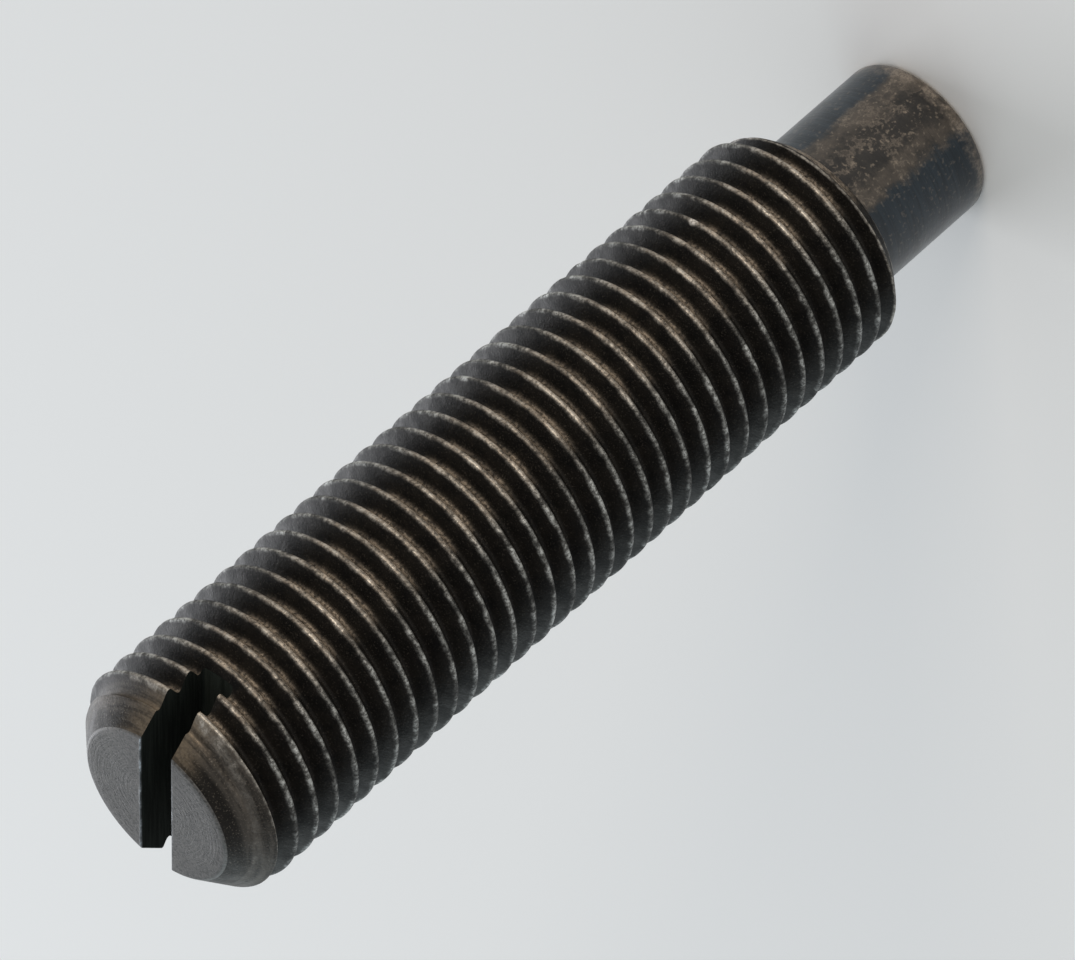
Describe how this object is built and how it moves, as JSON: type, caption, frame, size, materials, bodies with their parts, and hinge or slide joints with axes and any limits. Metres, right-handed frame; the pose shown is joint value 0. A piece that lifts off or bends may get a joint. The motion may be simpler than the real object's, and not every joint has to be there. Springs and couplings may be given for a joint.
{
  "type": "adjusting screw",
  "caption": "Headless slotted adjusting screw, fine left-hand thread along its length, chamfered driver end and a plain cylindrical dog point that bears on what it adjusts.",
  "frame": {"origin": "centre of the dog point's end face, on which the screw stands", "axes": "+Z along the screw's axis from the dog point up to the slotted end, with the slot along Y"},
  "size_m": [0.0094, 0.0094, 0.0418],
  "materials": {
    "black_steel": "black oxide with an oily satin sheen, worn to bare metal along the thread crests"
  },
  "bodies": {
    "root": {"adjusting_screw": "black_steel"}
  },
  "joints": []
}
